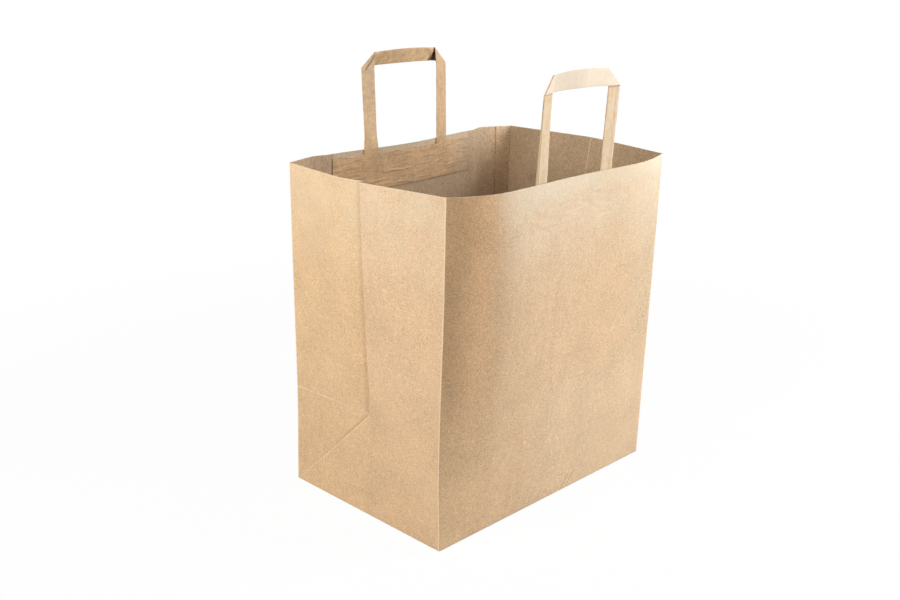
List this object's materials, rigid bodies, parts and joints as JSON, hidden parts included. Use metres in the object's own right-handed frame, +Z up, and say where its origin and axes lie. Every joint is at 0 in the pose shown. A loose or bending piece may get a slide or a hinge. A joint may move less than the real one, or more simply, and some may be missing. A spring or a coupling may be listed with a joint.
{
  "type": "paper carrier bag",
  "caption": "Open gusseted kraft paper carrier bag with a block bottom and flat folded paper handles glued inside its broad panels under paper patches.",
  "frame": {"origin": "on the surface the bag stands on, under the middle of its rectangular bottom", "axes": "+Z up, X along the broad panels, the front panel faces -Y"},
  "size_m": [0.3448, 0.2478, 0.44],
  "materials": {
    "bag_paper": "uncoated brown kraft paper, matt, with fine fibre flecks",
    "strap_paper": "folded kraft strap, slightly paler and smoother than the bag",
    "patch_paper": "kraft patch with lengthwise wrinkles from the glue"
  },
  "bodies": {
    "root": {"bag_body": "bag_paper", "front_handle": "strap_paper", "rear_handle": "strap_paper", "front_handle_patch": "patch_paper", "rear_handle_patch": "patch_paper"}
  },
  "joints": []
}
